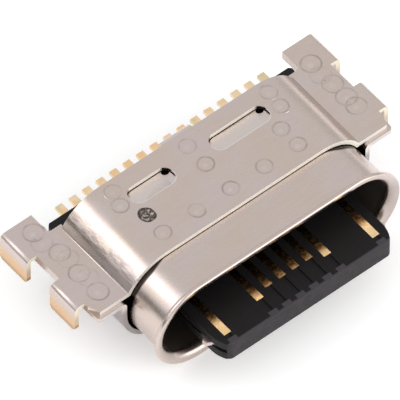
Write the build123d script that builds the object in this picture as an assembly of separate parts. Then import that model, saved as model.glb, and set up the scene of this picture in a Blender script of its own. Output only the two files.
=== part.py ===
from build123d import *
import os
from math import sqrt

# A mid-mount charging port connector: a drawn tube with a lipped mouth, held between two
# stamped covers, with a moulded housing and a contact tongue inside.
# Sizes are in millimetres. X runs across the width, the mouth faces -Y and +Z is up.
# While modelling, depths are measured from a plane just behind the lip's front and heights from
# the tube's axis. place() then moves every piece so that the origin is under the part's centre.

# Drawn tube and its lip
CAVITY_WIDTH = 8.34
CAVITY_HEIGHT = 2.56
TUBE_WALL = 0.15
TUBE_REAR = 4.42
TAIL_ROOM = 0.05
LIP_FRONT = -0.07
LIP_BEND = 0.12
LIP_FLAT = 0.08
LIP_EDGE_ROUND = 0.06

# Stamped covers
COVER_SHEET = 0.15
COVER_GAP = 0.03
CRADLE_SIDE_GAP = 0.075
UPPER_FRONT = 1.53
UPPER_REAR = 4.56
LOWER_FRONT = 1.40
LOWER_REAR = 4.45
SHOULDER_ROUND = 0.06
CRADLE_BEND = 0.05
SEAT_HEIGHT = 0.50

# Ears that sit on the circuit board
EAR_WIDTH = 0.885
EAR_REAR = 4.69
TAB_CLEARANCE = 0.085
TAB_REAR = 5.48
TAB_ROUND = 0.12
CORNER_CUT_WIDTH = 0.14
CORNER_CUT_DEPTH = 0.38
LOWER_CORNER_ROUND = 0.14

# Legs that go through the board
LEG_REACH = 0.36
LEG_BEND = 0.05
LEG_TIP = -0.24
LEG_SPANS = [(2.06, 3.20), (4.25, TAB_REAR)]
LEG_TIP_CHAMFER = 0.10

# Flap at the middle of the upper cover's rear edge
FLAP_WIDTH = 1.10
FLAP_REACH = 0.21
FLAP_BOTTOM = 0.95
FLAP_BEND = 0.06

# Two lances that are pressed down from the upper cover to lock the housing: the place of each
# one's middle across the width with its length, then the sizes that both share
LANCES = [(-1.685, 1.57), (1.575, 2.07)]
LANCE_CENTRE_Y = 3.655
LANCE_WIDTH = 0.65
LANCE_CORNER = 0.28
LANCE_STEP = 0.02
LANCE_DROP = 0.16
LANCE_END_GAP = 0.03
LANCE_REAR_GAP = 0.03
LANCE_ROOM = 0.05
LANCE_HOLE_RADIUS = 0.12
LANCE_HOLE_INSET = 0.13

# Moulded housing
HOUSING_GAP = 0.01
HOUSING_FRONT = 3.00
BAR_GAP = 0.03
BAR_WIDTH = 9.04
BAR_REAR = 4.94
BAR_TOP = 0.78
BAR_BOTTOM = -1.05
BAR_CHAMFER = 0.08

# Tongue
TONGUE_FRONT = -1.50
TONGUE_THICKNESS = 0.70
TONGUE_WIDTH = 6.34
NOSE_TAPER = 0.22
NOSE_SHOULDER = -0.90
NOSE_BULGE = 0.05
NOSE_CORNER = 0.20
NOSE_DEPTH = 0.10
NOSE_ROUND = 0.05
TOOTH_WIDTH = 0.30
TOOTH_DEPTH = 0.14
GROOVE_WIDTH = 0.12
GROOVE_DEPTH = 0.04
ROOT_FRONT = 2.00
ROOT_STEP = 0.05
ROOT_THICKNESS = 1.44
INSULATOR_REAR = 3.60

# Steel plate between the two rows, with a latching hook at each side of the tongue
PLATE_THICKNESS = 0.15
PLATE_FRONT_GAP = 0.05
PLATE_SIDE_INSET = 0.04
HOOK_REACH = 0.175
HOOK_FRONT = -0.92
HOOK_SPAN = (-0.82, -0.68)
HOOK_REAR = -0.33

# Terminals: contact places across the tongue, and the soldered tails behind it
CONTACT_X = [-2.75, -1.25, -0.75, -0.25, 0.25, 0.75, 1.25, 2.75]
GROUND_TIP = -1.10
SUPPLY_TIP = -0.74
SIGNAL_TIP = -0.52
CONTACT_TIP = [GROUND_TIP, SUPPLY_TIP] + [SIGNAL_TIP] * 4 + [SUPPLY_TIP, GROUND_TIP]
TAIL_PITCH = 0.50
TERMINAL_WIDTH = 0.25
TERMINAL_THICKNESS = 0.12
TERMINAL_BEND = 0.08
TAIL_REAR = 5.37
UPPER_STEP = (3.25, 3.52)
UPPER_SPREAD = (3.66, 4.30)
LOWER_SPREAD = (3.30, 3.95)
LOWER_RISE = 4.72

# Worked out from the sizes above
CAVITY_RADIUS = CAVITY_HEIGHT / 2
TUBE_CENTRE = (CAVITY_WIDTH - CAVITY_HEIGHT) / 2
TUBE_RADIUS = CAVITY_RADIUS + TUBE_WALL
LIP_RADIUS = TUBE_RADIUS + LIP_BEND + LIP_FLAT
COVER_INNER = TUBE_RADIUS + COVER_GAP
COVER_OUTER = COVER_INNER + COVER_SHEET
CRADLE_CENTRE = TUBE_CENTRE + CRADLE_SIDE_GAP
COVER_SIDE = CRADLE_CENTRE + COVER_OUTER
EAR_OUTER = COVER_SIDE + EAR_WIDTH
TAB_INNER = COVER_SIDE + TAB_CLEARANCE
LEG_OUTER = EAR_OUTER + LEG_REACH
EAR_SPLIT = SEAT_HEIGHT + COVER_SHEET
EAR_TOP = EAR_SPLIT + COVER_SHEET
BAR_FRONT = UPPER_REAR + BAR_GAP
TONGUE_SIDE = TONGUE_WIDTH / 2
ROOT_SIDE = TONGUE_SIDE + ROOT_STEP
HALF_TONGUE = TONGUE_THICKNESS / 2
HALF_PLATE = PLATE_THICKNESS / 2
HALF_ROOT = ROOT_THICKNESS / 2
INSULATOR_FRONT = TONGUE_FRONT + NOSE_DEPTH
FAR = 20.0
NEAR = 0.01


def along_depth(sketch, front, rear):
    """Extrudes a section drawn as (x, z) from the front depth to the rear depth."""
    plane = Plane(origin=(0, rear, 0), x_dir=(1, 0, 0), z_dir=(0, -1, 0))
    return extrude(plane * sketch, rear - front)


def across(sketch, left, right):
    """Extrudes a section drawn as (y, z) from the left to the right."""
    plane = Plane(origin=(left, 0, 0), x_dir=(0, 1, 0), z_dir=(1, 0, 0))
    return extrude(plane * sketch, right - left)


def upwards(sketch, bottom, top):
    """Extrudes a plan drawn as (x, y) from the bottom to the top."""
    return Pos(0, 0, bottom) * extrude(sketch, top - bottom)


def block(x_range, y_range, z_range):
    """A box between two limits on each axis."""
    (x0, x1), (y0, y1), (z0, z1) = x_range, y_range, z_range
    return Pos((x0 + x1) / 2, (y0 + y1) / 2, (z0 + z1) / 2) * Box(x1 - x0, y1 - y0, z1 - z0)


def obround(centre, radius, front, rear):
    """A solid of obround section, with its end arcs centred at plus and minus centre."""
    return along_depth(SlotCenterToCenter(2 * centre, 2 * radius), front, rear)


def both_sides(piece):
    """The piece and its mirror image on the other side of the middle."""
    return [piece, mirror(piece, Plane.YZ)]


def hood_reach(radius, height):
    """How far out the hood's end arc of this radius is at a height above the axis."""
    return TUBE_CENTRE + sqrt(radius ** 2 - height ** 2)


def place(piece):
    """Moves a finished piece to the part's own frame, whose origin is under its centre."""
    return Pos(0, -(TONGUE_FRONT + TAB_REAR) / 2, LIP_RADIUS) * piece


def lance_rooms(floor, ceiling):
    """The room that the pressed lances need below the upper cover."""
    width = LANCE_WIDTH + 2 * LANCE_ROOM
    plans = [Pos(x, LANCE_CENTRE_Y) * Rectangle(length + 2 * LANCE_ROOM, width) for x, length in LANCES]
    return [upwards(plan, floor, ceiling) for plan in plans]


def lance_windows():
    """The rounded openings that the lances are sheared out of."""
    plans = [Pos(x, LANCE_CENTRE_Y) * RectangleRounded(length, LANCE_WIDTH, LANCE_CORNER)
             for x, length in LANCES]
    return [upwards(plan, 0, FAR) for plan in plans]


def make_shell():
    """The drawn tube: a wall section with the turned-out lip, taken round the obround.

    A notch at each side of its rear end leaves room for the widest tails.
    """
    bend = LIP_BEND + TUBE_WALL
    bend_height = CAVITY_RADIUS + bend
    lip_back = LIP_FRONT + TUBE_WALL
    bend_end = LIP_FRONT + bend
    outline = [
        Line((TUBE_REAR, CAVITY_RADIUS), (bend_end, CAVITY_RADIUS)),
        RadiusArc((bend_end, CAVITY_RADIUS), (LIP_FRONT, bend_height), bend),
        Polyline((LIP_FRONT, bend_height), (LIP_FRONT, LIP_RADIUS), (lip_back, LIP_RADIUS),
                 (lip_back, bend_height)),
        RadiusArc((lip_back, bend_height), (bend_end, TUBE_RADIUS), -LIP_BEND),
        Polyline((bend_end, TUBE_RADIUS), (TUBE_REAR, TUBE_RADIUS), (TUBE_REAR, CAVITY_RADIUS)),
    ]
    section = make_face(Curve() + outline)
    section = fillet(section.vertices().group_by(Axis.Y)[-1], LIP_EDGE_ROUND)
    straight = across(section, -TUBE_CENTRE, TUBE_CENTRE)
    wall = Plane(origin=(TUBE_CENTRE, 0, 0), x_dir=(0, 1, 0), z_dir=(1, 0, 0)) * section
    end = revolve(wall, Axis((TUBE_CENTRE, 0, 0), (0, 1, 0)), 180)
    shell = straight + mirror(straight, Plane.XY) + both_sides(end)
    tail_level = (SEAT_HEIGHT - TAIL_ROOM, SEAT_HEIGHT + TERMINAL_THICKNESS + TAIL_ROOM)
    notches = block((-FAR, FAR), (UPPER_SPREAD[0] - TAIL_ROOM, FAR), tail_level)
    return shell - notches - lance_rooms(0, LIP_RADIUS)


def cover_ring(centre, front, rear):
    """The full obround wall from which a cover takes its half."""
    outside = SlotCenterToCenter(2 * centre, 2 * COVER_OUTER)
    inside = SlotCenterToCenter(2 * centre, 2 * COVER_INNER)
    return along_depth(outside - inside, front, rear)


def make_leg(span):
    """A leg folded down from the ear's outer edge, with its tip corners taken off."""
    front, rear = span
    inside = LEG_OUTER - COVER_SHEET
    root = EAR_OUTER - LEG_BEND
    section = make_face(Polyline(
        (root, EAR_TOP), (LEG_OUTER, EAR_TOP), (LEG_OUTER, LEG_TIP), (inside, LEG_TIP),
        (inside, EAR_SPLIT), (root, EAR_SPLIT), close=True))
    outer_corner = section.vertices().sort_by_distance((LEG_OUTER, EAR_TOP))[0]
    section = fillet(outer_corner, COVER_SHEET + LEG_BEND)
    inner_corner = section.vertices().sort_by_distance((inside, EAR_SPLIT))[0]
    section = fillet(inner_corner, LEG_BEND)
    leg = along_depth(section, front, rear)
    tip_corners = leg.edges().filter_by(Axis.X).group_by(Axis.Z)[0]
    return chamfer(tip_corners, LEG_TIP_CHAMFER)


def make_lance(x, length):
    """One pressed flap: a step below the hood at its front, sloping down to its sheared rear edge.

    A round relief bites off its right rear corner.
    """
    front = LANCE_CENTRE_Y - LANCE_WIDTH / 2
    window_rear = LANCE_CENTRE_Y + LANCE_WIDTH / 2
    rear = window_rear - LANCE_REAR_GAP
    root = front - COVER_SHEET
    top = COVER_OUTER - LANCE_STEP
    slope = make_face(Polyline(
        (root, top), (front, top), (rear, COVER_OUTER - LANCE_DROP), (rear, COVER_INNER - LANCE_DROP),
        (front, COVER_INNER), (root, COVER_INNER), close=True))
    half = length / 2 - LANCE_END_GAP
    plan = Pos(x, (root + rear) / 2) * Rectangle(2 * half, rear - root)
    plan = fillet(plan.vertices().group_by(Axis.Y)[-1], LANCE_CORNER - LANCE_END_GAP)
    hole_x = x + length / 2 - LANCE_HOLE_INSET
    plan = plan - Pos(hole_x, window_rear - LANCE_HOLE_INSET) * Circle(LANCE_HOLE_RADIUS)
    return across(slope, x - half, x + half) & upwards(plan, 0, COVER_OUTER)


def make_upper_cover():
    """The hood over the tube with its ears, four legs, rear flap and two lances."""
    hood = cover_ring(TUBE_CENTRE, UPPER_FRONT, UPPER_REAR)
    hood = hood & block((-FAR, FAR), (-FAR, FAR), (EAR_SPLIT, FAR))
    inner = hood_reach(COVER_INNER, EAR_SPLIT)
    outline = make_face(Polyline(
        (inner, UPPER_FRONT), (EAR_OUTER - CORNER_CUT_WIDTH, UPPER_FRONT),
        (EAR_OUTER, UPPER_FRONT + CORNER_CUT_DEPTH), (EAR_OUTER, TAB_REAR), (TAB_INNER, TAB_REAR),
        (TAB_INNER, EAR_REAR), (inner, EAR_REAR), close=True))
    inner_corner = outline.vertices().sort_by_distance((TAB_INNER, EAR_REAR))[0]
    outline = fillet(inner_corner, TAB_ROUND)
    ear = upwards(outline, EAR_SPLIT, EAR_TOP) + [make_leg(span) for span in LEG_SPANS]
    cover = hood + both_sides(ear)
    valley_x = hood_reach(COVER_OUTER, EAR_TOP)
    valleys = [edge for edge in cover.edges().filter_by(Axis.Y)
               if abs(abs(edge.center().X) - valley_x) < NEAR and abs(edge.center().Z - EAR_TOP) < NEAR]
    cover = fillet(valleys, SHOULDER_ROUND)
    lances = [make_lance(x, length) for x, length in LANCES]
    return cover - lance_windows() + make_flap() + lances


def make_flap():
    """The flap that is bent down behind the housing from the hood's rear edge."""
    root = UPPER_REAR - COVER_SHEET
    back = UPPER_REAR + FLAP_REACH
    section = make_face(Polyline(
        (root, COVER_OUTER), (back, COVER_OUTER), (back, FLAP_BOTTOM), (back - COVER_SHEET, FLAP_BOTTOM),
        (back - COVER_SHEET, COVER_INNER), (root, COVER_INNER), close=True))
    outer_corner = section.vertices().sort_by_distance((back, COVER_OUTER))[0]
    section = fillet(outer_corner, COVER_SHEET + FLAP_BEND)
    inner_corner = section.vertices().sort_by_distance((back - COVER_SHEET, COVER_INNER))[0]
    section = fillet(inner_corner, FLAP_BEND)
    return across(section, -FLAP_WIDTH / 2, FLAP_WIDTH / 2)


def make_lower_cover():
    """The cradle under the tube: its walls rise straight, then turn out into the lower ears."""
    cradle = cover_ring(CRADLE_CENTRE, LOWER_FRONT, LOWER_REAR)
    cradle = cradle & block((-FAR, FAR), (-FAR, FAR), (-FAR, 0))
    inside = COVER_SIDE - COVER_SHEET
    inner = COVER_SIDE + CRADLE_BEND
    section = make_face(Polyline(
        (inside, 0), (COVER_SIDE, 0), (COVER_SIDE, SEAT_HEIGHT), (TAB_INNER, SEAT_HEIGHT),
        (TAB_INNER, EAR_SPLIT), (inside, EAR_SPLIT), close=True))
    under_corner = section.vertices().sort_by_distance((COVER_SIDE, SEAT_HEIGHT))[0]
    section = fillet(under_corner, CRADLE_BEND)
    upper_corner = section.vertices().sort_by_distance((inside, EAR_SPLIT))[0]
    section = fillet(upper_corner, COVER_SHEET + CRADLE_BEND)
    wall = along_depth(section, LOWER_FRONT, LOWER_REAR)
    outline = make_face(Polyline(
        (inner, LOWER_FRONT), (EAR_OUTER, LOWER_FRONT), (EAR_OUTER, TAB_REAR), (TAB_INNER, TAB_REAR),
        (TAB_INNER, LOWER_REAR), (inner, LOWER_REAR), close=True))
    front_corner = outline.vertices().sort_by_distance((EAR_OUTER, LOWER_FRONT))[0]
    outline = fillet(front_corner, LOWER_CORNER_ROUND)
    ear = upwards(outline, SEAT_HEIGHT, EAR_SPLIT) + wall
    return cradle + both_sides(ear)


def make_strip(path_points, radii, x, width):
    """A formed strip of terminal stock whose lower face follows the given (y, z) points."""
    path = FilletPolyline(*path_points, radius=radii)
    outline = offset(path, TERMINAL_THICKNESS, side=Side.LEFT)
    return across(make_face(outline), x - width / 2, x + width / 2)


def make_spread(contact_x, tail_x, span, level):
    """The slanted stretch that leads a terminal from its contact place to its tail place."""
    front, rear = span
    half = TERMINAL_WIDTH / 2
    plan = make_face(Polyline(
        (contact_x - half, front), (contact_x + half, front), (tail_x + half, rear),
        (tail_x - half, rear), close=True))
    return upwards(plan, level, level + TERMINAL_THICKNESS)


def make_upper_terminal(contact_x, tail_x, tip):
    """A terminal of the upper row: it steps up to the board level, then spreads out."""
    low = HALF_TONGUE - TERMINAL_THICKNESS
    step_front, step_rear = UPPER_STEP
    spread_front, spread_rear = UPPER_SPREAD
    beam = make_strip([(tip, low), (step_front, low), (step_rear, SEAT_HEIGHT), (spread_front, SEAT_HEIGHT)],
                      TERMINAL_BEND, contact_x, TERMINAL_WIDTH)
    spread = make_spread(contact_x, tail_x, UPPER_SPREAD, SEAT_HEIGHT)
    tail = block((tail_x - TERMINAL_WIDTH / 2, tail_x + TERMINAL_WIDTH / 2), (spread_rear, TAIL_REAR),
                 (SEAT_HEIGHT, SEAT_HEIGHT + TERMINAL_THICKNESS))
    return beam + spread + tail


def make_lower_terminal(contact_x, tail_x, tip):
    """A terminal of the lower row: it spreads out first, then rises behind the upper row."""
    low = -HALF_TONGUE
    spread_front, spread_rear = LOWER_SPREAD
    beam = block((contact_x - TERMINAL_WIDTH / 2, contact_x + TERMINAL_WIDTH / 2), (tip, spread_front),
                 (low, low + TERMINAL_THICKNESS))
    spread = make_spread(contact_x, tail_x, LOWER_SPREAD, low)
    route = [(spread_rear, low), (LOWER_RISE, low), (LOWER_RISE, SEAT_HEIGHT), (TAIL_REAR, SEAT_HEIGHT)]
    radii = [TERMINAL_BEND + TERMINAL_THICKNESS, TERMINAL_BEND]
    tail = make_strip(route, radii, tail_x, TERMINAL_WIDTH)
    return beam + spread + tail


def make_terminals():
    """Both rows of terminals; their tails alternate at one pitch behind the housing."""
    terminals = {}
    count = len(CONTACT_X)
    for number, (contact_x, tip) in enumerate(zip(CONTACT_X, CONTACT_TIP), start=1):
        step = 2 * (number - 1) - (count - 1)
        outward = TAIL_PITCH / 2 if step > 0 else -TAIL_PITCH / 2
        upper_tail = step * TAIL_PITCH + outward
        lower_tail = step * TAIL_PITCH - outward
        terminals[f"upper_terminal_{number}"] = make_upper_terminal(contact_x, upper_tail, tip)
        terminals[f"lower_terminal_{number}"] = make_lower_terminal(contact_x, lower_tail, tip)
    return terminals


def tongue_plan():
    """The tongue's plan: parallel sides that bow in towards a narrower nose."""
    nose = TONGUE_SIDE - NOSE_TAPER
    half = [
        Line((0, TONGUE_FRONT), (nose, TONGUE_FRONT)),
        SagittaArc((nose, TONGUE_FRONT), (TONGUE_SIDE, NOSE_SHOULDER), -NOSE_BULGE),
        Polyline((TONGUE_SIDE, NOSE_SHOULDER), (TONGUE_SIDE, INSULATOR_REAR), (0, INSULATOR_REAR),
                 (0, TONGUE_FRONT)),
    ]
    right = make_face(Curve() + half)
    right = fillet(right.vertices().sort_by_distance((nose, TONGUE_FRONT))[0], NOSE_CORNER)
    return right + mirror(right, Plane.YZ)


def tooth_blocks(level):
    """The teeth of the nose moulding, one in front of each contact of the row at this level."""
    rear = INSULATOR_FRONT + TOOTH_DEPTH
    half = TOOTH_WIDTH / 2
    return [block((x - half, x + half), (INSULATOR_FRONT, rear), (level, level + TERMINAL_THICKNESS))
            for x in CONTACT_X]


def make_nose():
    """The second moulding that closes the front of the tongue."""
    front = block((-FAR, FAR), (TONGUE_FRONT, INSULATOR_FRONT), (-HALF_TONGUE, HALF_TONGUE))
    tongue = upwards(tongue_plan(), -HALF_TONGUE, HALF_TONGUE)
    rims = tongue.edges().filter_by(Axis.X).group_by(Axis.Y)[0]
    nose = fillet(rims, NOSE_ROUND) & front
    return nose + tooth_blocks(HALF_TONGUE - TERMINAL_THICKNESS) + tooth_blocks(-HALF_TONGUE)


def groove_blocks():
    """Fine grooves that run from each contact's tip to the tooth in front of it."""
    front = INSULATOR_FRONT + TOOTH_DEPTH
    half = GROOVE_WIDTH / 2
    return [block((x - half, x + half), (front, tip), (HALF_TONGUE - GROOVE_DEPTH, HALF_TONGUE))
            for x, tip in zip(CONTACT_X, CONTACT_TIP)]


def make_insulator_blank():
    """The upper half of the tongue and its root, before the terminals are taken out."""
    behind_nose = block((-FAR, FAR), (INSULATOR_FRONT, FAR), (HALF_PLATE, HALF_TONGUE))
    tongue = upwards(tongue_plan(), HALF_PLATE, HALF_TONGUE) & behind_nose
    root = block((-ROOT_SIDE, ROOT_SIDE), (ROOT_FRONT, INSULATOR_REAR), (HALF_PLATE, HALF_ROOT))
    return tongue + root - tooth_blocks(HALF_TONGUE - TERMINAL_THICKNESS) - groove_blocks()


def make_mid_plate():
    """The steel plate between the two rows; its hooks stand out at the tongue's sides."""
    front = INSULATOR_FRONT + PLATE_FRONT_GAP
    side = TONGUE_SIDE - PLATE_SIDE_INSET
    nose = side - NOSE_TAPER
    hook = TONGUE_SIDE + HOOK_REACH
    hook_front, hook_rear = HOOK_SPAN
    right = [(nose, front), (side, HOOK_FRONT), (hook, hook_front), (hook, hook_rear), (side, HOOK_REAR),
             (side, INSULATOR_REAR)]
    left = [(-x, y) for x, y in reversed(right)]
    return upwards(make_face(Polyline(*right, *left, close=True)), -HALF_PLATE, HALF_PLATE)


def make_housing_blank():
    """The black moulding that plugs the tube, with the bar that carries the tails behind it."""
    plug = obround(TUBE_CENTRE, CAVITY_RADIUS - HOUSING_GAP, HOUSING_FRONT, BAR_FRONT)
    bar = block((-BAR_WIDTH / 2, BAR_WIDTH / 2), (BAR_FRONT, BAR_REAR), (BAR_BOTTOM, BAR_TOP))
    bar = chamfer(bar.edges().filter_by(Axis.Z), BAR_CHAMFER)
    ear_inner = hood_reach(COVER_INNER, EAR_SPLIT)
    ear_room = block((ear_inner - BAR_GAP, FAR), (BAR_FRONT, EAR_REAR + BAR_GAP), (EAR_SPLIT - BAR_GAP, FAR))
    seat = block((-ROOT_SIDE, ROOT_SIDE), (HOUSING_FRONT, INSULATOR_REAR), (-HALF_ROOT, HALF_ROOT))
    lance_floor = COVER_INNER - LANCE_DROP - LANCE_ROOM
    return plug + bar - seat - both_sides(ear_room) - lance_rooms(lance_floor, LIP_RADIUS)


def build():
    """Every piece of the connector, by name."""
    terminals = make_terminals()
    upper_row = [piece for name, piece in terminals.items() if name.startswith("upper")]
    lower_row = [piece for name, piece in terminals.items() if name.startswith("lower")]
    blank = make_insulator_blank()
    pieces = {
        "mouth_shell": make_shell(),
        "upper_cover": make_upper_cover(),
        "lower_cover": make_lower_cover(),
        "housing": make_housing_blank() - upper_row - lower_row,
        "upper_insulator": blank - upper_row,
        "lower_insulator": mirror(blank, Plane.XY) - lower_row,
        "tongue_nose": make_nose(),
        "mid_plate": make_mid_plate(),
    }
    pieces.update(terminals)
    return pieces


os.makedirs("parts", exist_ok=True)
for name, piece in build().items():
    export_step(place(piece), f"parts/{name}.step")
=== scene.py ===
import math

import bmesh
import bpy
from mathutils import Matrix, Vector, noise


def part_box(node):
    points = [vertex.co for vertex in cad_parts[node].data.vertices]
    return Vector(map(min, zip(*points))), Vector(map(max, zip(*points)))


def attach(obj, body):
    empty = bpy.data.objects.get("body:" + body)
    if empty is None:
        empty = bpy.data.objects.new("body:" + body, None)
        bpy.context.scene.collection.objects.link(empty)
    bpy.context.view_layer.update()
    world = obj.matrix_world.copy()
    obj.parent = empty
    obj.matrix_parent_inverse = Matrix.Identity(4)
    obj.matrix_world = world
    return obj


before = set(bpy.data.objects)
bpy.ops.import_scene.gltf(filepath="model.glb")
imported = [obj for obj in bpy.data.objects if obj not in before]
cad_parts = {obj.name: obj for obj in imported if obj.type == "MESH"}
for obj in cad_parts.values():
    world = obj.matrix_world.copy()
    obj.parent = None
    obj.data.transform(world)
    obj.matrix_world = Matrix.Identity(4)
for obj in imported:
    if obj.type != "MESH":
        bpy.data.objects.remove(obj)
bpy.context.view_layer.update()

# Blender works in metres. Places on the object are in millimetres from a point on the mouth's axis,
# just behind the lip's front face: across to the right, in depth to the rear, and up.
MM = 0.001
LIP_SET_BACK = 0.07
shell_low, shell_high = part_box("mouth_shell")
LIP_CENTRE = Vector((0, shell_low.y + LIP_SET_BACK * MM, (shell_low.z + shell_high.z) / 2))

# The photograph is 400 pixels wide at 34.85 pixels a millimetre, and the camera stands 0.5 m away
VIEW_AZIMUTH = math.radians(-39.226)
VIEW_ELEVATION = math.radians(53.119)
VIEW_DISTANCE = 0.5
VIEW_WIDTH = 400 / 34.85
VIEW_RIGHT_OF_LIP = -2.2267
VIEW_ABOVE_LIP = 1.9507
SENSOR_WIDTH = 36.0

# Each lamp: the way to it, its distance and the side of its square in metres, and its power in watts
LAMPS = {
    "key": ((-0.528, 0.465, 0.71), 0.10, 0.042, 0.0095),
    "front_fill": ((0.38, -0.80, 0.465), 0.10, 0.10, 0.047),
}

# The studio's light by height, from 0 at the horizon to 1 overhead, and the two strips on its left
# wall: the soft top and foot of each, and by what share it is darker or brighter than the wall
HORIZON_LIGHT = 0.54
CEILING_LIGHT = 0.80
WALL_HEIGHT = (0.0, 0.42)
LEFT_WALL = (-0.50, -0.78)
STRIPS = [
    ((0.30, 0.24), (0.02, 0.08), "SUBTRACT", 0.85),
    ((0.60, 0.52), (0.33, 0.38), "ADD", 0.60),
]
FLOOR_REACH = 0.3
FLOOR_GREY = 0.90
FLOOR_GLOW = 0.32

# Laser weld marks: the place of each across and in depth, and how plainly it shows. Each stands on
# a foot that is sunk into the face, so that the raised part has no gap under it.
HOOD_MARKS = [
    (-2.50, 2.13, 0.8), (-1.25, 2.13, 0.9), (0.0, 2.13, 1.0), (1.25, 2.13, 0.8), (2.50, 2.13, 0.9),
    (2.47, 2.87, 0.9), (0.0, 3.26, 1.0), (-2.84, 3.65, 0.9), (2.99, 3.52, 0.9),
    (0.0, 4.09, 0.6), (3.045, 4.11, 0.6), (-2.70, 4.17, 0.5),
]
EAR_MARKS = [
    (-5.01, 4.94, 1.0), (-5.05, 4.50, 0.35), (-4.87, 3.91, 0.8), (-4.81, 3.60, 0.35), (-4.90, 2.99, 0.9),
    (-4.80, 2.71, 0.3), (-4.89, 2.15, 1.0),
    (5.03, 4.62, 1.0), (4.98, 4.12, 0.35), (5.05, 3.66, 0.7), (5.07, 3.04, 0.8), (5.08, 2.61, 0.8),
]
HOOD_MARK_RADIUS = 0.25
EAR_MARK_RADIUS = 0.31
MARK_RISE = 0.005
MARK_FOOT = -0.012
MARK_STEPS = 40
BURNT_WELD = (-2.46, 2.90)
BURNT_RADIUS = 0.27
PIT = (3.51, 1.89)

# The flats of the hood and the tube end this far from their middle, where the shoulders curve down
FLAT_END = 2.89

# The two lances pressed in the hood: the middle of each across, and its length
LANCES = [(-1.685, 1.57), (1.575, 2.07)]
LANCE_DEPTH = 3.655
LANCE_WIDTH = 0.65
LANCE_CORNER = 0.28

# The depth of the hood's front edge. The tube's shoulders are darkened under it with painted shade,
# because the photograph shows a wider gap there than the hood leaves.
HOOD_FRONT = 1.53

# The outer faces of the hood and of the ears, above the mouth's axis
SHEET = 0.15
HOOD_LEVEL = (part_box("upper_cover")[1].z - LIP_CENTRE.z) / MM
EAR_LEVEL = (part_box("lower_cover")[1].z + SHEET * MM - LIP_CENTRE.z) / MM

# Soft borders of the finishes and of the painted shade and light: where each one starts and where it is full
EAR_FROM = (4.45, 4.70)
LEG_FROM = (5.45, 5.60)
LEG_BEND = (5.58, 5.72)
GOLD_DOWN = (0.60, 0.05)
SCORCH_DOWN = (0.04, -0.20)
LEG_TIP_DOWN = (0.55, 0.20)
BURR_DOWN = (0.06, -0.10)
# Where the shoulder's streaks and painted dark reflection start and are full
STREAK_REFLECTION_LEFT = (-3.55, -3.80)
STREAK_REFLECTION_DOWN = (1.40, 1.20)
STREAK_REFLECTION_UP = (HOOD_LEVEL - 0.66, HOOD_LEVEL - 0.50)
# Where the painted shade on the cradle starts and is full, downwards and inwards
CRADLE_SHADE_DOWN = (0.50, 0.10)
CRADLE_SHADE_IN = (5.3, 5.0)
# Where the painted shade inside the tube starts and is full, off the axis and in depth
TUBE_WALL_IN = (1.36, 1.31)
INSIDE_BACK = (0.10, 0.42)
# Where the painted shade at the tube's right end starts and is full, rightwards and downwards
END_SHADE_RIGHT = (3.6, 4.4)
END_SHADE_DOWN = (0.9, 0.2)
# Where the painted shade under the hood's front edge starts and is full
GAP_SHADE_BACK = (HOOD_FRONT - 0.05, HOOD_FRONT + 0.01)
GAP_SHADE_OUT = (FLAT_END, 3.1)
GAP_SHADE_WIDER_OUT = (FLAT_END, 3.6)
GAP_SHADE_WIDER = 0.14
MOUTH_FORWARD = (3.5, 3.0)
TAIL_BACK = (4.2, 4.6)

# Edges that fold less than the first angle are rounds, and edges past the second are corners
ROUND_FOLD = math.radians(12)
CORNER_FOLD = math.radians(35)

# How wide the corners are rounded on the plain pieces and on the hood, and how near triangles are joined
PLAIN_EDGE = 0.02
HOOD_EDGE = 0.009
JOIN_WITHIN = 0.0005

# Nickel plate, what stains it, and the painted shade and highlights laid on it
WARM_NICKEL = (0.645, 0.543, 0.482, 1)
COOL_NICKEL = (0.650, 0.555, 0.530, 1)
ROLLED_NICKEL = (0.76, 0.68, 0.64, 1)
# Painted highlight on each weld mark's dome
DOME_HIGHLIGHT = (0.86, 0.79, 0.75, 1)
HEAT_LINE = (0.26, 0.21, 0.185, 1)
SMALL_PIT = (0.33, 0.27, 0.24, 1)
# Painted shade for the deep pit near the hood's front edge
PIT_SHADE = (0.12, 0.09, 0.075, 1)
# Painted highlight round the lances
LANCE_HIGHLIGHT = (0.98, 0.95, 0.92, 1)
# Painted light on the tilted lance bends
LANCE_BEND_LIGHT = (0.78, 0.72, 0.70, 1)
# Streaks in the sheet with a painted dark reflection, on the hood's left shoulder
STREAK_AND_DARK_REFLECTION = (0.13, 0.105, 0.105, 1)
# Painted shade for the tube's right end and the cradle under the tube
SHADED_NICKEL = (0.27, 0.25, 0.26, 1)
# Painted shade inside the tube
INSIDE_SHADE = (0.22, 0.18, 0.15, 1)
# Painted shade under the hood's front edge
GAP_SHADE = (0.030, 0.022, 0.018, 1)

# Sheared edges of the covers, and the gold that covers their legs
HOOD_SHEARED = (0.98, 0.93, 0.83, 1)
UPPER_EAR_SHEARED = (0.93, 0.90, 0.87, 1)
LOWER_EAR_SHEARED = (0.74, 0.69, 0.69, 1)
LEG_SHEARED = (0.93, 0.85, 0.66, 1)
LEG_TIP_SHEARED = (0.70, 0.56, 0.40, 1)
LEG_GOLD = (0.74, 0.485, 0.265, 1)
SCORCHED_GOLD = (0.43, 0.25, 0.13, 1)
BROWN_BURR = (0.42, 0.20, 0.07, 1)

# Gold plate on the contacts, and tin over it on the tails
DEEP_GOLD = (1.0, 0.70, 0.35, 1)
PALE_GOLD = (1.0, 0.78, 0.45, 1)
GOLD_STAIN = (0.62, 0.34, 0.11, 1)
WARM_TIN = (0.98, 0.66, 0.37, 1)
PALE_TIN = (0.98, 0.78, 0.54, 1)
GREENISH_TIN = (0.74, 0.68, 0.43, 1)

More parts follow.
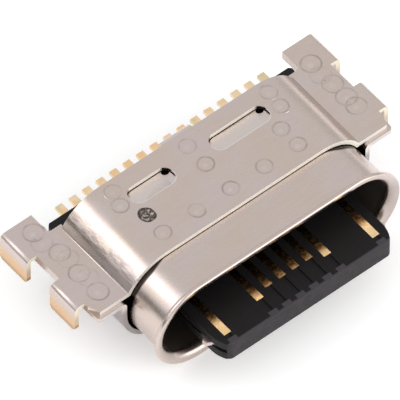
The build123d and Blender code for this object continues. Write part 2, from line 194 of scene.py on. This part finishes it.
# How painted shade darkens the contacts into the mouth, by the photograph's tones: where each tint starts
# and is full in depth, and the tint
CONTACT_SHADES = [
    (-0.50, -0.22, (0.58, 0.34, 0.13, 1)),
    (-0.24, 0.0, (0.30, 0.185, 0.09, 1)),
    (0.20, 0.50, (0.12, 0.08, 0.045, 1)),
]

# The burnt weld's scale
BURNT_BLACK = (0.035, 0.026, 0.022, 1)
BURNT_GREY = (0.21, 0.175, 0.155, 1)
BARE_FLECK = (0.60, 0.52, 0.48, 1)
BURNT_RIM = (0.055, 0.040, 0.034, 1)


def add_camera():
    """The camera at the photograph's viewing angle, aimed so that the object lies where it does there."""
    azimuth, elevation = VIEW_AZIMUTH, VIEW_ELEVATION
    back = Vector((math.sin(azimuth) * math.cos(elevation), -math.cos(azimuth) * math.cos(elevation),
                   math.sin(elevation)))
    right = Vector((math.cos(azimuth), math.sin(azimuth), 0))
    aim = LIP_CENTRE + (right * VIEW_RIGHT_OF_LIP + back.cross(right) * VIEW_ABOVE_LIP) * MM
    camera = bpy.data.objects.new("camera", bpy.data.cameras.new("camera"))
    bpy.context.scene.collection.objects.link(camera)
    camera.data.sensor_width = SENSOR_WIDTH
    camera.data.lens = SENSOR_WIDTH * VIEW_DISTANCE / (VIEW_WIDTH * MM)
    camera.location = aim + back * VIEW_DISTANCE
    camera.rotation_mode = "QUATERNION"
    camera.rotation_quaternion = (-back).to_track_quat("-Z", "Y")
    camera.data.clip_start, camera.data.clip_end = 0.01, 10
    bpy.context.scene.camera = camera


class Nodes:
    """Short calls for the nodes that a material or the world is made of."""

    def __init__(self, tree):
        self.tree = tree

    def node(self, kind, inputs=None, **settings):
        """A node with its settings, and its inputs given as numbers, colours or sockets."""
        made = self.tree.nodes.new(kind)
        for name, value in settings.items():
            setattr(made, name, value)
        for name, value in (inputs or {}).items():
            self.feed(made.inputs[name], value)
        return made

    def feed(self, socket, value):
        """Links a socket to an input, or sets the input to a number or a colour."""
        if isinstance(value, bpy.types.NodeSocket):
            self.tree.links.new(value, socket)
        else:
            socket.default_value = value

    def math(self, operation, *values):
        """The result of one Math node."""
        return self.node("ShaderNodeMath", dict(enumerate(values)), operation=operation).outputs[0]

    def both(self, first, second):
        """The product of two values: where two masks overlap, or one of them weakened to a share."""
        return self.math("MULTIPLY", first, second)

    def step(self, value, low, high, to_low=0.0, to_high=1.0):
        """A smooth step of a value between two limits. It falls where the first limit is the higher one."""
        inputs = {"Value": value, "From Min": low, "From Max": high, "To Min": to_low, "To Max": to_high}
        return self.node("ShaderNodeMapRange", inputs, interpolation_type="SMOOTHSTEP").outputs["Result"]

    def mix(self, share, first, second):
        """A colour between two colours."""
        made = self.node("ShaderNodeMix", data_type="RGBA")
        sockets = (made.inputs["Factor"], made.inputs[6], made.inputs[7])
        for socket, value in zip(sockets, (share, first, second)):
            self.feed(socket, value)
        return made.outputs[2]


class Finish(Nodes):
    """A material that is built up in layers, on coordinates in millimetres from the mouth's axis."""

    def __init__(self, name, metal=1.0):
        self.material = bpy.data.materials.new(name)
        self.material.use_nodes = True
        super().__init__(self.material.node_tree)
        self.shader = self.tree.nodes["Principled BSDF"]
        place = self.node("ShaderNodeTexCoord").outputs["Object"]
        away = self.vector("SUBTRACT", place, tuple(LIP_CENTRE))
        self.place = self.vector("SCALE", away, scale=1 / MM)
        split = self.node("ShaderNodeSeparateXYZ", {"Vector": self.place})
        self.x, self.y, self.z = split.outputs
        self.out = self.math("ABSOLUTE", self.x)
        self.colour, self.rough, self.normal, self.cloud = None, None, None, None
        self.metal = metal

    def vector(self, operation, first, second=None, scale=None):
        """The result of one Vector Math node."""
        inputs = {0: first}
        if second is not None:
            inputs[1] = second
        if scale is not None:
            inputs["Scale"] = scale
        made = self.node("ShaderNodeVectorMath", inputs, operation=operation)
        return made.outputs["Value" if operation in ("DISTANCE", "LENGTH", "DOT_PRODUCT") else "Vector"]

    def noise(self, size, detail=3.0, roughness=0.55, stretch=(1, 1, 1)):
        """Noise whose lumps are about this many millimetres across."""
        place = self.vector("MULTIPLY", self.place, tuple(1 / (size * s) for s in stretch))
        inputs = {"Vector": place, "Scale": 1.0, "Detail": detail, "Roughness": roughness}
        return self.node("ShaderNodeTexNoise", inputs).outputs["Fac"]

    def distance(self, across, depth):
        """How far a point is from an upright line through this place."""
        on_plane = self.node("ShaderNodeCombineXYZ", {"X": self.x, "Y": self.y}).outputs[0]
        return self.vector("DISTANCE", on_plane, (across, depth, 0))

    def off(self, value, middle):
        """How far a value lies from a middle, either way."""
        return self.math("ABSOLUTE", self.math("SUBTRACT", value, middle))

    def facing(self, direction):
        """How squarely the surface faces one way, from -1 to 1."""
        normal = self.node("ShaderNodeNewGeometry").outputs["True Normal"]
        return self.vector("DOT_PRODUCT", normal, direction)

    def on_face(self, level):
        """1 on the face at one level and on the start of its shoulders, and 0 off it."""
        return self.step(self.off(self.z, level), 0.08, 0.10, to_low=1.0, to_high=0.0)

    def tint(self, mask, colour, share=None):
        """Lays a colour over the finish where the mask is 1, whole or to a share."""
        if share is not None:
            mask = self.both(mask, share)
        self.colour = self.mix(mask, self.colour, colour)

    def roughen(self, mask, amount):
        """Makes the finish rougher by an amount where the mask is 1."""
        self.rough = self.math("ADD", self.rough, self.both(mask, amount))

    def bump(self, height, distance):
        """Gives the finish a relief whose height of 1 stands this many millimetres high."""
        inputs = {"Height": height, "Distance": distance * MM, "Strength": 1.0}
        self.normal = self.node("ShaderNodeBump", inputs).outputs["Normal"]

    def done(self, **inputs):
        """Feeds the shader's own inputs, and gives back the finished material."""
        inputs = {"Base_Color": self.colour, "Metallic": self.metal, "Roughness": self.rough,
                  "Normal": self.normal, **inputs}
        for name, value in inputs.items():
            self.feed(self.shader.inputs[name.replace("_", " ")], value)
        return self.material


def nickel_sheet(name):
    """Nickel-plated sheet: warm grey, with a fine rolled grain, faint clouds and small pits."""
    finish = Finish(name)
    grain = finish.noise(0.06, detail=2.0, roughness=0.6)
    rolled = finish.noise(0.11, detail=3.0, roughness=0.6, stretch=(6, 1, 1))
    finish.cloud = finish.noise(1.3, detail=3.0, roughness=0.5)
    finish.colour = finish.mix(finish.step(finish.cloud, 0.35, 0.65), WARM_NICKEL, COOL_NICKEL)
    finish.tint(finish.step(rolled, 0.35, 0.75, to_low=0.0, to_high=0.14), ROLLED_NICKEL)
    pits = finish.step(finish.noise(0.13, detail=1.0), 0.77, 0.83)
    finish.tint(pits, SMALL_PIT, share=0.35)
    clouded = finish.step(finish.cloud, 0.4, 0.7, to_low=0.0, to_high=0.05)
    finish.rough = finish.math("ADD", finish.step(grain, 0.3, 0.7, to_low=0.24, to_high=0.27), clouded)
    height = finish.math("ADD", finish.both(grain, 0.25), finish.both(rolled, 0.75))
    finish.bump(finish.math("SUBTRACT", height, pits), 0.0004)
    return finish


def mark_heat_lines_and_highlights(finish, marks, radius, level):
    """The dark heat line round each weld mark on one face, and a painted highlight on the dome inside it."""
    wander = finish.both(finish.math("SUBTRACT", finish.noise(0.35, detail=1.0), 0.5), 0.06)
    line, dome_highlight = 0.0, 0.0
    for across, depth, plain in marks:
        away = finish.math("ADD", finish.distance(across, depth), wander)
        dark = finish.step(finish.off(away, radius), 0.0, 0.05, to_low=plain, to_high=0.0)
        line = finish.math("MAXIMUM", dark, line)
        inside = finish.math("ADD", finish.distance(across - 0.05, depth - 0.04), wander)
        lit_dome = finish.step(inside, radius * 0.10, radius * 0.45, to_low=plain, to_high=0.0)
        dome_highlight = finish.math("MAXIMUM", lit_dome, dome_highlight)
    patchy = finish.step(finish.noise(0.5, detail=2.0), 0.36, 0.60, to_low=0.25, to_high=1.0)
    face = finish.on_face(level)
    finish.tint(finish.both(line, finish.both(face, patchy)), HEAT_LINE, share=0.58)
    # Painted highlight on the domes
    finish.tint(finish.both(dome_highlight, face), DOME_HIGHLIGHT, share=0.22)


def lance_outline(finish, across, length):
    """A painted highlight where the press bent one lance down, along its front edge and its right end."""
    past_straight = []
    for value, middle, size in ((finish.x, across, length), (finish.y, LANCE_DEPTH, LANCE_WIDTH)):
        past = finish.math("SUBTRACT", finish.off(value, middle), size / 2 - LANCE_CORNER)
        past_straight.append(finish.math("MAXIMUM", past, 0.0))
    corner = finish.node("ShaderNodeCombineXYZ", {"X": past_straight[0], "Y": past_straight[1]}).outputs[0]
    off_line = finish.off(finish.vector("LENGTH", corner), LANCE_CORNER)
    front = finish.step(finish.y, LANCE_DEPTH - 0.05, LANCE_DEPTH + 0.10, to_low=1.0, to_high=0.0)
    return finish.both(finish.step(off_line, 0.005, 0.03, to_low=1.0, to_high=0.0), front)


def press_hood(finish):
    """Painted shade in the deep pit near the hood's front edge, painted highlights round the lances, and
    their bends rougher and paler as painted light.
    """
    face = finish.on_face(HOOD_LEVEL)
    # Painted shade for the deep pit
    pit_shade = finish.step(finish.distance(*PIT), 0.02, 0.05, to_low=0.8, to_high=0.0)
    finish.tint(finish.both(pit_shade, face), PIT_SHADE)
    line = 0.0
    for across, length in LANCES:
        line = finish.math("MAXIMUM", lance_outline(finish, across, length), line)
    # Painted highlights round the lances
    finish.tint(finish.both(line, face), LANCE_HIGHLIGHT, share=0.65)
    # The lance bends: rougher, and paler as painted light
    bent_rough_and_lit = finish.both(finish.step(finish.facing((0, 1, 0)), 0.10, 0.16),
                       finish.step(finish.facing((0, 0, 1)), 0.90, 0.94))
    finish.tint(bent_rough_and_lit, LANCE_BEND_LIGHT, share=0.6)
    finish.roughen(bent_rough_and_lit, 0.12)


def gild_legs(finish, ear_sheared):
    """Gold that fades in down the legs and is scorched at their tips, and the sheet's pale sheared edges."""
    past_bend = finish.step(finish.out, *LEG_BEND)
    gold = finish.both(past_bend, finish.step(finish.z, *GOLD_DOWN))
    finish.tint(finish.both(gold, finish.step(finish.cloud, 0.25, 0.6, to_low=0.65, to_high=1.0)), LEG_GOLD)
    scorched = finish.both(past_bend, finish.step(finish.z, *SCORCH_DOWN))
    finish.tint(scorched, SCORCHED_GOLD, share=0.7)

    on_ear = finish.step(finish.out, *EAR_FROM)
    on_leg = finish.step(finish.out, *LEG_FROM)
    leg_sheared = finish.mix(finish.step(finish.z, *LEG_TIP_DOWN), LEG_SHEARED, LEG_TIP_SHEARED)
    sheared = finish.mix(on_leg, finish.mix(on_ear, HOOD_SHEARED, ear_sheared), leg_sheared)
    burr = finish.both(on_leg, finish.step(finish.z, *BURR_DOWN))
    sheared = finish.mix(finish.both(burr, 0.85), sheared, BROWN_BURR)
    edge = finish.step(finish.math("ABSOLUTE", finish.facing((0, 1, 0))), 0.90, 0.97)
    finish.tint(edge, sheared, share=0.92)
    finish.roughen(edge, 0.22)
    finish.metal = finish.math("SUBTRACT", 1.0, finish.both(edge, 0.80))


def paint_shoulder_streaks_and_reflection(finish):
    """Dark streaks along the hood's left shoulder: partly streaks in the sheet, partly a painted dark
    reflection.
    """
    shoulder = finish.both(finish.step(finish.x, *STREAK_REFLECTION_LEFT), finish.step(finish.z, *STREAK_REFLECTION_DOWN))
    shoulder = finish.both(shoulder, finish.step(finish.z, *STREAK_REFLECTION_UP))
    streaks = finish.step(finish.noise(0.07, detail=3.0, roughness=0.65, stretch=(1, 6, 1)), 0.42, 0.58)
    # Streaks and a painted dark reflection on the left shoulder
    finish.tint(finish.both(shoulder, streaks), STREAK_AND_DARK_REFLECTION, share=0.45)


def paint_inside_shade(finish):
    """The dark inside of the tube, painted shade and dark reflection. Its tone is read from the photograph.
    """
    past_end = finish.math("MAXIMUM", finish.math("SUBTRACT", finish.out, FLAT_END), 0.0)
    off_axis = finish.node("ShaderNodeCombineXYZ", {"X": past_end, "Y": finish.z}).outputs[0]
    inside = finish.step(finish.vector("LENGTH", off_axis), *TUBE_WALL_IN)
    inside = finish.both(inside, finish.step(finish.y, *INSIDE_BACK))
    # Painted shade inside the tube
    finish.tint(inside, INSIDE_SHADE, share=0.93)
    finish.roughen(inside, 0.20)


def paint_gap_shade(finish):
    """Painted shade on the tube's shoulders under the hood's front edge, standing in for a wider gap there.
    """
    behind = finish.math("ADD", finish.y, finish.step(finish.out, *GAP_SHADE_WIDER_OUT, to_high=GAP_SHADE_WIDER))
    hood_edge_shade = finish.both(finish.step(behind, *GAP_SHADE_BACK), finish.step(finish.out, *GAP_SHADE_OUT))
    # Painted shade, darkest just under the hood's front edge
    finish.tint(hood_edge_shade, GAP_SHADE, share=0.96)


def tube_steel():
    """The tube's finish, with painted shade at its right end to the photograph's tone. The tongue's plate
    has it too.
    """
    finish = nickel_sheet("nickel_tube")
    paint_inside_shade(finish)
    # Painted shade at the tube's lower right end
    right_end_shade = finish.both(finish.step(finish.x, *END_SHADE_RIGHT), finish.step(finish.z, *END_SHADE_DOWN))
    finish.tint(right_end_shade, SHADED_NICKEL, share=0.30)
    paint_gap_shade(finish)
    return finish.done()


def hood_steel():
    """The welded, pressed and gilded upper cover's finish."""
    finish = nickel_sheet("welded_nickel_hood")
    mark_heat_lines_and_highlights(finish, HOOD_MARKS, HOOD_MARK_RADIUS, HOOD_LEVEL)
    mark_heat_lines_and_highlights(finish, EAR_MARKS, EAR_MARK_RADIUS, EAR_LEVEL)
    press_hood(finish)
    gild_legs(finish, UPPER_EAR_SHEARED)
    paint_shoulder_streaks_and_reflection(finish)
    return finish.done()


def cradle_steel():
    """The lower cover's finish: the same sheet, with painted shade on the cradle under the tube."""
    finish = nickel_sheet("nickel_cradle")
    gild_legs(finish, LOWER_EAR_SHEARED)
    # Painted shade on the cradle under the tube
    low = finish.both(finish.step(finish.z, *CRADLE_SHADE_DOWN), finish.step(finish.out, *CRADLE_SHADE_IN))
    finish.tint(low, SHADED_NICKEL, share=0.70)
    return finish.done()


def gold_flash():
    """Gold plate over copper alloy: bright at the tips, darkened into the mouth by painted shade, tinned at
    the tails.
    """
    finish = Finish("gold_flash")
    grain = finish.noise(0.11, detail=1.5, roughness=0.5)
    cloud = finish.noise(0.4, detail=2.0)
    finish.colour = finish.mix(finish.step(cloud, 0.3, 0.7), DEEP_GOLD, PALE_GOLD)
    stain = finish.step(finish.noise(0.22, detail=3.0, roughness=0.5), 0.55, 0.75, to_low=0.0, to_high=0.35)
    finish.tint(stain, GOLD_STAIN)
    edge = finish.math("ADD", finish.y, finish.both(finish.noise(0.15, detail=2.0), 0.25))
    in_mouth = finish.step(finish.y, *MOUTH_FORWARD)
    # Painted shade that darkens the contacts into the mouth
    for start, end, shade_tint in CONTACT_SHADES:
        finish.tint(finish.both(finish.step(edge, start, end), in_mouth), shade_tint)
    tinned = finish.mix(finish.step(cloud, 0.35, 0.65), WARM_TIN, PALE_TIN)
    patches = finish.step(finish.noise(0.7, detail=1.0), 0.52, 0.66, to_low=0.0, to_high=0.6)
    tinned = finish.mix(patches, tinned, GREENISH_TIN)
    finish.tint(finish.step(finish.y, *TAIL_BACK), tinned)
    finish.rough = finish.step(grain, 0.3, 0.7, to_low=0.20, to_high=0.30)
    finish.bump(grain, 0.0003)
    return finish.done()


def moulding(name, dark, light, lit_top, smoothest, roughest, shine):
    """Glass-filled moulding: nearly black, sparked, with faint flow marks and fibres, and paler on top as
    painted light.
    """
    finish = Finish(name, metal=0.0)
    spark = finish.noise(0.05, detail=3.0, roughness=0.65)
    flow = finish.noise(0.30, detail=3.0, roughness=0.6, stretch=(1, 3, 1))
    finish.colour = finish.mix(finish.step(flow, 0.35, 0.7), dark, light)
    # Painted light: paler on the faces that look up
    finish.tint(finish.step(finish.facing((0, 0, 1)), 0.2, 0.9), lit_top)
    fibres = finish.step(finish.noise(0.035, detail=1.0, stretch=(4, 1, 1)), 0.68, 0.80)
    finish.tint(fibres, (*(3 * part for part in light[:3]), 1), share=0.25)
    finish.rough = finish.step(spark, 0.3, 0.7, to_low=smoothest, to_high=roughest)
    finish.bump(spark, 0.004)
    return finish.done(IOR=1.5, Specular_IOR_Level=shine)


def burnt_oxide():
    """The scorched weld: brown-black scale, darkest at its rim, with paler flecks of metal."""
    finish = Finish("burnt_oxide", metal=0.6)
    lumps = finish.noise(0.06, detail=3.0, roughness=0.7)
    finish.colour = finish.mix(finish.step(lumps, 0.42, 0.58), BURNT_BLACK, BURNT_GREY)
    flecks = finish.step(finish.noise(0.085, detail=2.0, roughness=0.6), 0.53, 0.60)
    finish.tint(flecks, BARE_FLECK, share=0.85)
    rim = finish.step(finish.distance(*BURNT_WELD), BURNT_RADIUS * 0.66, BURNT_RADIUS * 0.86)
    finish.tint(rim, BURNT_RIM, share=0.75)
    finish.rough = finish.step(lumps, 0.3, 0.7, to_low=0.60, to_high=0.40)
    finish.bump(lumps, 0.018)
    return finish.done()


def dress(node, material):
    """Gives a CAD node one material in all its slots."""
    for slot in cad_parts[node].material_slots:
        slot.link = "OBJECT"
        slot.material = material


def make_fold_lines():
    """Modifier nodes that keep a shallow fold in the sheet crisp, between a round and a corner."""
    group = bpy.data.node_groups.new("fold_lines", "GeometryNodeTree")
    group.interface.new_socket("Geometry", in_out="INPUT", socket_type="NodeSocketGeometry")
    group.interface.new_socket("Geometry", in_out="OUTPUT", socket_type="NodeSocketGeometry")
    nodes = Nodes(group)
    angle = nodes.node("GeometryNodeInputMeshEdgeAngle").outputs["Unsigned Angle"]
    rounded = nodes.math("LESS_THAN", angle, ROUND_FOLD)
    corner = nodes.math("GREATER_THAN", angle, CORNER_FOLD)
    settings = {"Shade Smooth": nodes.math("MAXIMUM", rounded, corner)}
    smooth = nodes.node("GeometryNodeSetShadeSmooth", settings, domain="EDGE")
    nodes.feed(smooth.inputs["Geometry"], nodes.node("NodeGroupInput").outputs[0])
    nodes.feed(nodes.node("NodeGroupOutput").inputs[0], smooth.outputs["Geometry"])
    return group


def break_edges(node, width, fold_lines):
    """Joins a node's loose triangles and rounds its sharp edges, as tumbling and plating leave them."""
    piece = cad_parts[node]
    piece.modifiers.new("joined", "WELD").merge_threshold = JOIN_WITHIN * MM
    piece.modifiers.new("fold_lines", "NODES").node_group = fold_lines
    bevel = piece.modifiers.new("broken_edges", "BEVEL")
    bevel.width = width * MM
    bevel.segments = 2
    bevel.limit_method = "ANGLE"
    bevel.angle_limit = CORNER_FOLD
    bevel.use_clamp_overlap = True
    even = piece.modifiers.new("even_faces", "WEIGHTED_NORMAL")
    even.mode = "FACE_AREA"
    even.weight = 50
    even.keep_sharp = True


def add_piece(name, mesh, material):
    """Finishes one piece of weld: it rides on the body and takes the material that it is given."""
    bmesh.ops.remove_doubles(mesh, verts=mesh.verts, dist=1e-7)
    bmesh.ops.recalc_face_normals(mesh, faces=mesh.faces)
    data = bpy.data.meshes.new(name)
    mesh.to_mesh(data)
    mesh.free()
    for face in data.polygons:
        face.use_smooth = True
    data.materials.append(material)
    piece = bpy.data.objects.new(name, data)
    bpy.context.scene.collection.objects.link(piece)
    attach(piece, "root")


def shoulder_drop(across, level):
    """How far the hood's outer face lies below its flat, this far from its middle."""
    over = max(abs(across) - FLAT_END, 0) if level == HOOD_LEVEL else 0
    return level - math.sqrt(level ** 2 - over ** 2)


def spin_mark(mesh, centre, radius, level, profile, ragged):
    """Turns a low profile round a point on a face, and makes its rim and height a little uneven."""
    x, y = centre
    origin = LIP_CENTRE + Vector((x, y, level)) * MM
    before = set(mesh.verts)
    points = [mesh.verts.new(origin + Vector((share * radius, 0, height)) * MM) for share, height in profile]
    edges = [mesh.edges.new(pair) for pair in zip(points, points[1:])]
    bmesh.ops.spin(mesh, geom=points + edges, cent=origin, axis=(0, 0, 1), angle=2 * math.pi,
                   steps=MARK_STEPS, use_merge=True)
    apart, rim_scale, height_scale, height_share = 7, 3.0, 2.3, 3
    for vert in [vert for vert in mesh.verts if vert not in before]:
        away = (vert.co - origin) / MM
        seed = Vector((away.x, away.y, x + apart * y)) * rim_scale
        away.xy *= 1 + ragged * noise.noise(seed)
        if away.z > 0:
            away.z *= 1 + height_share * ragged * noise.noise(seed * height_scale)
        away.z -= shoulder_drop(x + away.x, level)
        vert.co = origin + away * MM


def add_weld_marks(name, marks, radius, level, material):
    """The low domes that the laser left on one face, each with a raised rim."""
    mesh = bmesh.new()
    for across, depth, plain in marks:
        rise = MARK_RISE * plain
        dome = [(0, rise), (0.25, rise * 0.9), (0.5, rise * 0.5), (0.72, 0.001), (0.84, 0.001)]
        rim = [(0.92, rise * 0.45), (1.0, rise * 0.45), (1.12, -0.001), (1.22, -0.003)]
        foot = [(1.22, MARK_FOOT), (0, MARK_FOOT)]
        spin_mark(mesh, (across, depth), radius, level, dome + rim + foot, 0.10)
    add_piece(name, mesh, material)


def add_burnt_weld(material):
    """The one weld that burnt: a ragged low crater with a lump in it."""
    mesh = bmesh.new()
    lump = [(0, 0.010), (0.15, 0.007), (0.30, 0.002), (0.45, 0.006), (0.60, 0.004)]
    rim = [(0.75, 0.010), (0.88, 0.008), (1.0, 0.001), (1.06, -0.003), (1.15, -0.006)]
    foot = [(1.15, MARK_FOOT), (0, MARK_FOOT)]
    spin_mark(mesh, BURNT_WELD, BURNT_RADIUS, HOOD_LEVEL, lump + rim + foot, 0.22)
    add_piece("burnt_weld", mesh, material)


def add_floor():
    """A plain pale floor, which shows as white and keeps the object's shadow."""
    mesh = bmesh.new()
    bmesh.ops.create_grid(mesh, x_segments=1, y_segments=1, size=FLOOR_REACH)
    data = bpy.data.meshes.new("floor")
    mesh.to_mesh(data)
    mesh.free()
    floor = bpy.data.objects.new("floor", data)
    bpy.context.scene.collection.objects.link(floor)
    material = bpy.data.materials.new("pale_floor")
    material.use_nodes = True
    nodes = Nodes(material.node_tree)
    shader = nodes.tree.nodes["Principled BSDF"]
    path = nodes.node("ShaderNodeLightPath")
    seen = nodes.math("MAXIMUM", path.outputs["Is Camera Ray"], path.outputs["Is Glossy Ray"])
    seen = nodes.math("MAXIMUM", seen, path.outputs["Is Transmission Ray"])
    for name, value in (("Base Color", (FLOOR_GREY, FLOOR_GREY, FLOOR_GREY, 1)), ("Roughness", 0.9),
                        ("Specular IOR Level", 0.0), ("Emission Color", (1, 1, 1, 1)),
                        ("Emission Strength", nodes.both(seen, FLOOR_GLOW))):
        nodes.feed(shader.inputs[name], value)
    data.materials.append(material)


def add_lamp(name, direction, distance, size, power):
    """A soft square lamp that faces the object."""
    lamp = bpy.data.objects.new(name, bpy.data.lights.new(name, "AREA"))
    bpy.context.scene.collection.objects.link(lamp)
    lamp.data.shape = "SQUARE"
    lamp.data.size = size
    lamp.data.energy = power
    away = Vector(direction).normalized()
    lamp.location = away * distance
    lamp.rotation_mode = "QUATERNION"
    lamp.rotation_quaternion = (-away).to_track_quat("-Z", "Y")


def add_world():
    """A pale studio, dimmer near the horizon, with a bright strip over a dark one on the left."""
    world = bpy.data.worlds.new("studio")
    bpy.context.scene.world = world
    world.use_nodes = True
    nodes = Nodes(world.node_tree)
    direction = nodes.node("ShaderNodeTexCoord").outputs["Generated"]
    across, _, up = nodes.node("ShaderNodeSeparateXYZ", {"Vector": direction}).outputs
    left = nodes.step(across, *LEFT_WALL)
    light = nodes.step(up, *WALL_HEIGHT, to_low=HORIZON_LIGHT, to_high=CEILING_LIGHT)
    for top, foot, operation, share in STRIPS:
        strip = nodes.both(left, nodes.both(nodes.step(up, *top), nodes.step(up, *foot)))
        light = nodes.both(light, nodes.math(operation, 1.0, nodes.both(strip, share)))
    seen = nodes.node("ShaderNodeLightPath").outputs["Is Camera Ray"]
    nodes.feed(nodes.tree.nodes["Background"].inputs["Color"], nodes.math("MAXIMUM", light, seen))


add_camera()
add_world()
add_floor()
for lamp_name, lamp_facts in LAMPS.items():
    add_lamp(lamp_name, *lamp_facts)

tube = tube_steel()
hood = hood_steel()
black = moulding(
    "black_moulding", dark=(0.005, 0.0045, 0.0045, 1), light=(0.009, 0.008, 0.008, 1),
    lit_top=(0.008, 0.007, 0.007, 1), smoothest=0.42, roughest=0.60, shine=0.22)
grey = moulding(
    "grey_moulding", dark=(0.018, 0.014, 0.017, 1), light=(0.030, 0.024, 0.028, 1),
    lit_top=(0.052, 0.045, 0.052, 1), smoothest=0.50, roughest=0.65, shine=0.30)
for node, material in (("mouth_shell", tube), ("mid_plate", tube), ("upper_cover", hood),
                       ("lower_cover", cradle_steel()), ("housing", black), ("upper_insulator", black),
                       ("lower_insulator", black), ("tongue_nose", grey)):
    dress(node, material)
gold = gold_flash()
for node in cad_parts:
    if "terminal" in node:
        dress(node, gold)

fold_lines = make_fold_lines()
for node in ("mouth_shell", "lower_cover", "mid_plate", "housing"):
    break_edges(node, PLAIN_EDGE, fold_lines)
break_edges("upper_cover", HOOD_EDGE, fold_lines)

add_weld_marks("hood_weld_marks", HOOD_MARKS, HOOD_MARK_RADIUS, HOOD_LEVEL, hood)
add_weld_marks("ear_weld_marks", EAR_MARKS, EAR_MARK_RADIUS, EAR_LEVEL, hood)
add_burnt_weld(burnt_oxide())

bpy.context.scene.view_settings.view_transform = "Standard"
